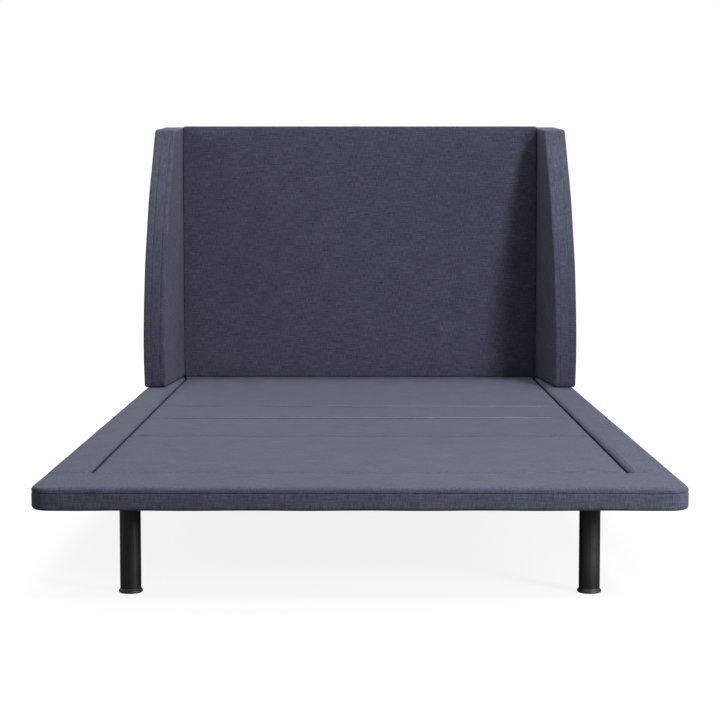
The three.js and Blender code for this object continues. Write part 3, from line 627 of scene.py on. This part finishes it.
# ---------------------------------------------------------------- plywood
# The rails, the headboard and the deck sections each have a birch plywood core with a sanded
# face, cut so that the veneer's grain runs along the bed.
def birch_plywood():
    """Grain is noise drawn out along Y, with fine dark pores on top."""
    finish, tree, shader = make_finish("birch_plywood", 0.55)
    where = tree.nodes.new("ShaderNodeTexCoord").outputs["Object"]
    along_grain = stretch_node(tree, where, (26, 1.6, 26))
    grain = noise_node(tree, along_grain, 1.0, detail=6.0, roughness=0.6)
    pores = noise_node(tree, stretch_node(tree, where, (620, 18, 620)), 1.0)
    tone = math_node(tree, "MULTIPLY_ADD", pores, 0.22, math_node(tree, "MULTIPLY", grain, 0.85))
    stops = [(0.30, (0.33, 0.20, 0.095)), (0.50, (0.55, 0.37, 0.19)), (0.75, (0.68, 0.50, 0.29))]
    tree.links.new(ramp_node(tree, tone, stops), shader.inputs["Base Color"])
    bump_node(tree, shader, pores, 0.0002)
    return finish


def give(finish, *nodes):
    """Puts one finish on CAD nodes in place of their plain colour."""
    for node in nodes:
        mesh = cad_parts[node].data
        mesh.materials.clear()
        mesh.materials.append(finish)


plywood = birch_plywood()
give(plywood, "foot_rail_core", "side_rail_core_left", "side_rail_core_right", "headboard_core")
give(plywood, *(f"{section}_board" for section in ("seat", "back", "thigh", "calf")))


# ---------------------------------------------------------------- black steel
# Frame tubes, legs, hinge leaves, headboard brackets and lift tubes are mild steel with a black
# powder coat. The coat has a fine orange-peel surface and is a little shinier where rubbed.
def powder_coat():
    """Fine peel from noise at about 1 mm, with slow changes in roughness."""
    finish, tree, shader = make_finish("black_powder_coat", 0.42)
    where = tree.nodes.new("ShaderNodeTexCoord").outputs["Object"]
    peel = noise_node(tree, where, 900.0)
    wear = noise_node(tree, where, 14.0, detail=4.0, roughness=0.6)
    stops = [(0.35, (0.009, 0.009, 0.0095)), (0.65, (0.015, 0.015, 0.0155))]
    tree.links.new(ramp_node(tree, wear, stops), shader.inputs["Base Color"])
    gloss = math_node(tree, "MULTIPLY_ADD", wear, 0.22, 0.30)
    tree.links.new(gloss, shader.inputs["Roughness"])
    shader.inputs["Specular IOR Level"].default_value = 0.35
    bump_node(tree, shader, peel, 0.00012)
    return finish


black_steel = powder_coat()
for side in ("left", "right"):
    give(black_steel, f"leg_front_{side}", f"leg_rear_{side}", f"headboard_bracket_{side}")
give(black_steel, *(f"frame_tube_{place}" for place in ("left", "right", "foot", "seat", "head")))
give(black_steel, "seat_hinge_leaf_back", "seat_hinge_leaf_thigh", "back_hinge_leaf")
give(black_steel, "thigh_hinge_leaf_seat", "thigh_hinge_leaf_knee", "calf_hinge_leaf")
give(black_steel, "head_lift_tube", "foot_lift_tube")


# ---------------------------------------------------------------- zinc-plated steel
# Lift links, lift brackets and spindles are bright zinc plate over pressed steel, with the
# faint cloudy spangle and rolled streaks of sheet metal.
def zinc_plate():
    """Cloudy patches and fine rolled streaks vary the colour and the roughness."""
    finish, tree, shader = make_finish("zinc_plate", 0.32, 0.95)
    where = tree.nodes.new("ShaderNodeTexCoord").outputs["Object"]
    cloud = noise_node(tree, where, 60.0, detail=4.0, roughness=0.6)
    streak = noise_node(tree, stretch_node(tree, where, (40, 900, 900)), 1.0)
    stops = [(0.3, (0.42, 0.43, 0.45)), (0.7, (0.62, 0.63, 0.64))]
    tree.links.new(ramp_node(tree, cloud, stops), shader.inputs["Base Color"])
    gloss = math_node(tree, "MULTIPLY_ADD", streak, 0.25, 0.20)
    tree.links.new(gloss, shader.inputs["Roughness"])
    bump_node(tree, shader, streak, 0.00005)
    return finish


zinc = zinc_plate()
give(zinc, "spindle_head", "spindle_foot")
for side in ("left", "right"):
    give(zinc, f"back_lift_bracket_{side}", f"calf_lift_bracket_{side}", f"head_lift_link_{side}")


# ---------------------------------------------------------------- moulded plastic
# The drive's shell and the feet are black plastic with a fine moulded grain. The gearboxes,
# push blocks and lift bearings are a smoother grey nylon.
def moulded(name, dark, light, grain_depth):
    """Two close tones and a fine bump from noise at about 0.7 mm."""
    finish, tree, shader = make_finish(name, 0.5)
    where = tree.nodes.new("ShaderNodeTexCoord").outputs["Object"]
    grain = noise_node(tree, where, 1400.0)
    patch = noise_node(tree, where, 22.0, detail=3.0)
    tree.links.new(ramp_node(tree, patch, [(0.3, dark), (0.7, light)]), shader.inputs["Base Color"])
    gloss = math_node(tree, "MULTIPLY_ADD", patch, 0.2, 0.42)
    tree.links.new(gloss, shader.inputs["Roughness"])
    bump_node(tree, shader, grain, grain_depth)
    return finish


black_plastic = moulded("black_moulding", (0.018, 0.019, 0.020), (0.030, 0.031, 0.033), 0.00018)
grey_nylon = moulded("grey_nylon", (0.21, 0.215, 0.22), (0.30, 0.305, 0.31), 0.00006)
give(black_plastic, "drive_housing", "drive_cover")
give(grey_nylon, "drive_motor_head", "drive_motor_foot", "push_block_head", "push_block_foot")
for end in ("head", "foot"):
    give(grey_nylon, f"lift_bearing_{end}_left", f"lift_bearing_{end}_right")
for end in ("front", "rear"):
    give(black_plastic, f"levelling_foot_{end}_left", f"levelling_foot_{end}_right")


# ---------------------------------------------------------------- screws and bolts
# Pan-head screws sit on the leg plates, hinge leaves, lift brackets and drive housing, and larger
# bolt heads on the frame tubes and lift bearings. Each is a turned dome with a round recess.
SCREW_SIDES = 12
SCREW_RISE = np.array([0.0, 0.0, 0.55, 0.88, 1.0, 1.0, 0.35, 0.35])
SCREW_REACH = np.array([0.0, 1.0, 0.97, 0.72, 0.46, 0.40, 0.34, 0.0])
DOWN = (0, 0, -1)


def screw_heads(name, places, radius, height, body, away=DOWN, finish=zinc):
    """One mesh of many heads. A head is a profile carried round the axis away: ring k stands
    radius * SCREW_REACH[k] out and height * SCREW_RISE[k] up. Both ends close on the axis."""
    away = np.array(away, dtype=float)
    side = np.cross(away, [0.0, 0.0, 1.0] if away[2] == 0 else [1.0, 0.0, 0.0])
    across = np.cross(away, side)
    turn = np.linspace(0, 2 * math.pi, SCREW_SIDES, endpoint=False)
    ring = np.cos(turn)[:, None] * side + np.sin(turn)[:, None] * across
    reach = (SCREW_REACH * radius)[:, None, None]
    rise = (SCREW_RISE * height)[:, None, None]
    head = (reach * ring + rise * away).reshape(-1, 3)
    quads = ring_quads(len(SCREW_REACH), SCREW_SIDES)
    points = (np.array(places)[:, None, :] + head).reshape(-1, 3)
    faces = (np.arange(len(places))[:, None, None] * len(head) + quads).reshape(-1, 4)
    mesh = bpy.data.meshes.new(name)
    mesh.from_pydata(points.tolist(), [], faces.tolist())
    close_skin(mesh)
    mesh.materials.append(finish)
    screws = bpy.data.objects.new(name, mesh)
    bpy.context.collection.objects.link(screws)
    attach(screws, body)


def middle_of(node):
    """The middle of a CAD node's box, and its lowest and highest corners."""
    low, high = np.array(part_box(node))
    return (low + high) / 2, low, high


LEG_PLATE_THICK = 0.005
LEG_HOLE_REACH = 0.035
leg_screws = []
for leg in ("front_left", "front_right", "rear_left", "rear_right"):
    middle, low, high = middle_of(f"leg_{leg}")
    for x in (-LEG_HOLE_REACH, LEG_HOLE_REACH):
        for y in (-LEG_HOLE_REACH, LEG_HOLE_REACH):
            leg_screws.append((middle[0] + x, middle[1] + y, high[2] - LEG_PLATE_THICK))
screw_heads("leg_plate_screws", leg_screws, radius=0.0055, height=0.0028, body="base")

BRACKET_FOOT_THICK = 0.003
BRACKET_SCREW_REACH = 0.014
BRACKET_SCREW_INSET = 0.010
for section in ("back", "calf"):
    bracket_screws = []
    for side in ("left", "right"):
        middle, low, high = middle_of(f"{section}_lift_bracket_{side}")
        for x in (-BRACKET_SCREW_REACH, BRACKET_SCREW_REACH):
            for y in (low[1] + BRACKET_SCREW_INSET, high[1] - BRACKET_SCREW_INSET):
                bracket_screws.append((middle[0] + x, y, high[2] - BRACKET_FOOT_THICK))
    screw_heads(f"{section}_bracket_screws", bracket_screws, radius=0.004, height=0.002, body=section)

# Each leaf lies on the head side or the foot side of its hinge, and its screws run along the
# far edge. The knee's knuckles hang KNUCKLE_DROP below their leaves.
HINGE_SCREWS = np.linspace(-0.41, 0.41, 9)
HINGE_SCREW_INSET = 0.014
KNUCKLE_DROP = 0.004
hinges = [
    ("seat_hinge_leaf_back", "base", "foot", 0.0),
    ("seat_hinge_leaf_thigh", "base", "head", 0.0),
    ("back_hinge_leaf", "back", "head", 0.0),
    ("thigh_hinge_leaf_seat", "thigh", "foot", 0.0),
    ("thigh_hinge_leaf_knee", "thigh", "head", KNUCKLE_DROP),
    ("calf_hinge_leaf", "calf", "foot", KNUCKLE_DROP),
]
for node, body, side, drop in hinges:
    low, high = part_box(node)
    y = high[1] - HINGE_SCREW_INSET if side == "head" else low[1] + HINGE_SCREW_INSET
    leaf_screws = [(x, y, low[2] + drop) for x in HINGE_SCREWS]
    screw_heads(f"{node}_screws", leaf_screws, radius=0.0038, height=0.0018, body=body)

BOLT_PAIR_REACH = 0.010
END_BOLT_INSET = 0.035
frame_bolts = []
for side in ("left", "right"):
    tube, low, high = middle_of(f"frame_tube_{side}")
    crossings = [middle_of(f"frame_tube_{crossing}")[0][1] for crossing in ("foot", "seat", "head")]
    bolt_ys = [y + offset for y in crossings for offset in (-BOLT_PAIR_REACH, BOLT_PAIR_REACH)]
    frame_bolts += [(tube[0], y, low[2]) for y in (*bolt_ys, low[1] + END_BOLT_INSET)]
screw_heads("frame_tube_bolts", frame_bolts, radius=0.0065, height=0.0045, body="base")

BEARING_BOLT_REACH = 0.0165
BEARING_BOLT_RISE = 0.010
for side, sign in (("left", -1), ("right", 1)):
    bearing_bolts = []
    for end in ("head", "foot"):
        bearing, low, high = middle_of(f"lift_bearing_{end}_{side}")
        inner = low[0] if sign > 0 else high[0]
        for y in (-BEARING_BOLT_REACH, BEARING_BOLT_REACH):
            bearing_bolts.append((inner, bearing[1] + y, bearing[2] + BEARING_BOLT_RISE))
    screw_heads(
        f"lift_bearing_bolts_{side}", bearing_bolts, radius=0.0032, height=0.0024, body="base",
        away=(-sign, 0, 0),
    )

DRIVE_SCREW_REACH = 0.060
DRIVE_SCREW_END = 0.016
DRIVE_SCREW_MIDDLE = 0.11
drive, low, high = middle_of("drive_housing")
drive_ys = [low[1] + DRIVE_SCREW_END, drive[1] - DRIVE_SCREW_MIDDLE]
drive_ys += [drive[1] + DRIVE_SCREW_MIDDLE, high[1] - DRIVE_SCREW_END]
drive_xs = (drive[0] - DRIVE_SCREW_REACH, drive[0] + DRIVE_SCREW_REACH)
drive_screws = [(x, y, low[2]) for x in drive_xs for y in drive_ys]
screw_heads(
    "drive_housing_screws", drive_screws, radius=0.0042, height=0.0022, body="base",
    finish=black_steel,
)
